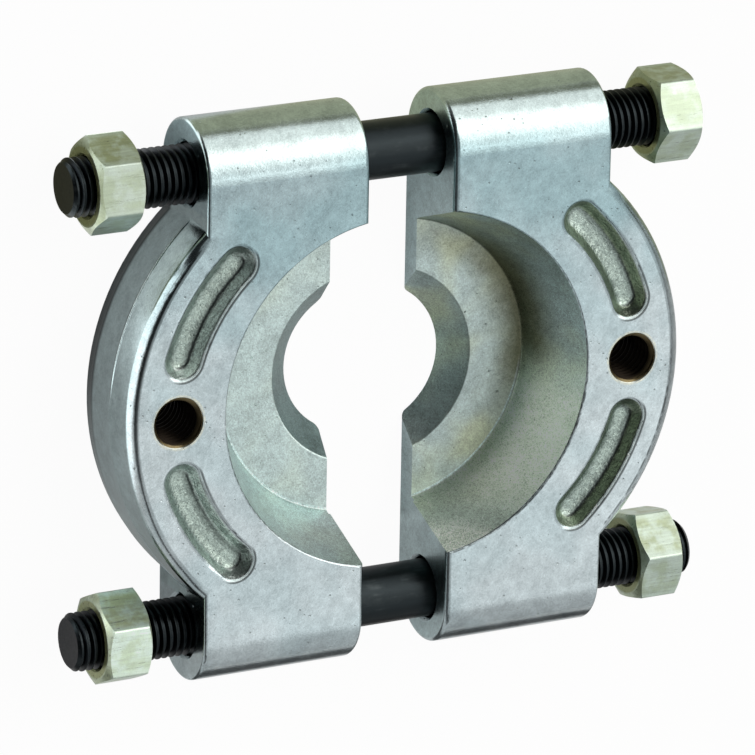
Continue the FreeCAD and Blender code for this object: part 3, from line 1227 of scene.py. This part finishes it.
@dataclass
class Studio:
    """Plain pale floor, soft panels of light and dark, and the camera at the photograph's angle."""

    floor_half_size: float = 3.0
    floor_colour: Colour = (0.90, 0.90, 0.90)
    floor_white_to_camera: float = 0.96
    floor_white_to_metal: float = 0.25
    cards: tuple[FloorCard, ...] = (
        FloorCard(azimuth=152, distance=222, half_depth=119, half_length=150, softness=13, level=2.2),
        # Painted shadow of the upper left nut on the floor, seen in the metal.
        FloorCard(azimuth=149, distance=117, half_depth=15, half_length=17, softness=6, level=0.30,
                  tint=(1.0, 1.0, 0.66)),
        # Painted shadow on the floor towards the lower side, seen in the metal.
        FloorCard(azimuth=-92, distance=200, half_depth=92, half_length=140, softness=14, level=0.08),
        FloorCard(azimuth=66, distance=108, half_depth=44, half_length=125, softness=12, level=0.50,
                  tint=(1.0, 1.0, 0.72)),
        FloorCard(azimuth=66, distance=1010, half_depth=840, half_length=900, softness=20, level=0.25,
                  tint=(1.0, 1.0, 0.72)),
        FloorCard(azimuth=-90, distance=66, half_depth=15, half_length=12, softness=5, level=0.45),
    )
    sky_level: float = 0.60
    horizon_level: float = 0.62
    under_level: float = 0.42
    panels: tuple[SoftPanel, ...] = (
        SoftPanel(azimuth=-40, elevation=45, half_width=9, half_height=15, softness=4, level=1.15),
        SoftPanel(azimuth=46, elevation=31, half_width=29, half_height=33, softness=4, level=1.50,
                  tint=(1.03, 1.0, 0.97)),
        SoftPanel(azimuth=36, elevation=47, half_width=21, half_height=22, softness=5, level=2.7,
                  tint=(1.05, 1.0, 0.96)),
        SoftPanel(azimuth=13, elevation=64, half_width=14, half_height=9, softness=3, level=2.7,
                  tint=(1.05, 1.0, 0.96)),
        SoftPanel(azimuth=-162, elevation=36, half_width=20, half_height=28, softness=6, level=0.10),
        SoftPanel(azimuth=140, elevation=30, half_width=57, half_height=31, softness=5, level=0.02, roll=11),
        SoftPanel(azimuth=-115, elevation=36, half_width=32, half_height=9, softness=5, level=0.03, roll=-9),
        SoftPanel(azimuth=93, elevation=4, half_width=20, half_height=26, softness=4, level=0.09, roll=14),
        SoftPanel(azimuth=107, elevation=82, half_width=26, half_height=16, softness=5, level=0.32),
        SoftPanel(azimuth=-59, elevation=2, half_width=59, half_height=10, softness=8, level=0.48),
    )
    lens_px: float = 6505.4
    camera_place_mm: tuple[float, float, float] = (-738.47, 569.03, 1497.32)
    aim_mm: tuple[float, float, float] = (-2.068, -0.918, 15.0)
    camera_roll: float = 124.2785
    picture_px: float = 755.0
    sensor_mm: float = 36.0

    def build_world(self) -> None:
        """Wire the world: an even sky with the panels laid over it in turn."""
        world = bpy.data.worlds.new("studio")
        bpy.context.scene.world = world
        world.use_nodes = True
        w = Wiring(world.node_tree)
        direction = w.node("ShaderNodeTexCoord").outputs["Generated"]
        _, _, up = w.split(direction)
        under = w.ramp(up, -0.3, 0.0, self.under_level, self.horizon_level)
        colour = w.add(under, w.ramp(up, 0.0, 0.6, 0.0, self.sky_level - self.horizon_level))
        for panel in self.panels:
            bright = tuple(panel.level * part for part in panel.tint)
            colour = w.mix(panel.mask(w, direction), colour, bright)
        background = w.node("ShaderNodeBackground")
        w.feed(background.inputs["Color"], colour)
        output = w.node("ShaderNodeOutputWorld")
        w.feed(output.inputs["Surface"], background.outputs[0])

    def build_floor(self) -> None:
        """Lay the floor under the part: nearly white to the camera, and with its cards to the metal."""
        half = self.floor_half_size
        corners = [(-half, -half, 0), (half, -half, 0), (half, half, 0), (-half, half, 0)]
        mesh = bpy.data.meshes.new("floor")
        mesh.from_pydata(corners, [], [(0, 1, 2, 3)])
        floor = add_object("floor", mesh)
        material, w = new_material("floor")
        paint = w.node("ShaderNodeBsdfDiffuse")
        w.feed(paint.inputs["Color"], self.floor_colour)
        place, _ = w.surface_point()
        glow_colour = WHITE
        shown_to_metal = self.floor_white_to_metal
        for card in self.cards:
            mask = card.mask(w, place)
            glow_colour = w.mix(mask, glow_colour, tuple(card.level * part for part in card.tint))
            shown_to_metal = w.add(shown_to_metal, w.times(mask, w.minus(1.0, shown_to_metal)))
        path = w.node("ShaderNodeLightPath")
        to_camera = w.math("MAXIMUM", path.outputs["Is Camera Ray"], path.outputs["Is Transmission Ray"])
        to_metal = w.times(path.outputs["Is Glossy Ray"], w.minus(1.0, to_camera))
        glow = w.node("ShaderNodeEmission")
        w.feed(glow.inputs["Color"], w.mix(to_metal, WHITE, glow_colour))
        share = w.add(w.times(to_camera, self.floor_white_to_camera), w.times(to_metal, shown_to_metal))
        blend = w.node("ShaderNodeMixShader")
        w.feed(blend.inputs[0], share)
        w.feed(blend.inputs[1], paint.outputs[0])
        w.feed(blend.inputs[2], glow.outputs[0])
        output = w.node("ShaderNodeOutputMaterial")
        w.feed(output.inputs["Surface"], blend.outputs[0])
        mesh.materials.append(material)

    def build_camera(self) -> None:
        """Place the camera, aim it and roll it about its own axis."""
        data = bpy.data.cameras.new("camera")
        data.sensor_width = self.sensor_mm
        data.lens = self.lens_px / self.picture_px * self.sensor_mm
        camera = add_object("camera", data)
        place = Vector(self.camera_place_mm) * MM
        ahead = (Vector(self.aim_mm) * MM - place).normalized()
        right = ahead.cross(Vector((0.0, 0.0, 1.0))).normalized()
        right, up = rolled(right, right.cross(ahead), self.camera_roll)
        turn = Matrix((right, up, -ahead)).transposed()
        camera.matrix_world = Matrix.Translation(place) @ turn.to_4x4()
        bpy.context.scene.camera = camera

    def build(self) -> None:
        """Set up the whole studio, with the plain view transform."""
        bpy.context.scene.view_settings.view_transform = "Standard"
        self.build_world()
        self.build_floor()
        self.build_camera()


def main() -> None:
    """Build every sub-assembly in order, report it, and set up the studio."""
    logging.basicConfig(level=logging.INFO, format="%(name)s %(message)s")
    for jaw in Jaws().build():
        LOG.info("dressed %s", jaw.name)
    for nut in Nuts().build():
        LOG.info("dressed %s", nut.name)
    oxide = BlackOxide().build()
    for row in Row:
        stud = ThreadedStud(row).build(oxide)
        LOG.info("made %s with %d faces", stud.name, len(stud.data.polygons))
    cut = CutThread().build()
    for side in Side:
        sleeve = PullerThread(side).build(cut)
        LOG.info("made %s with %d faces", sleeve.name, len(sleeve.data.polygons))
    Studio().build()


if __name__ == "__main__":
    main()
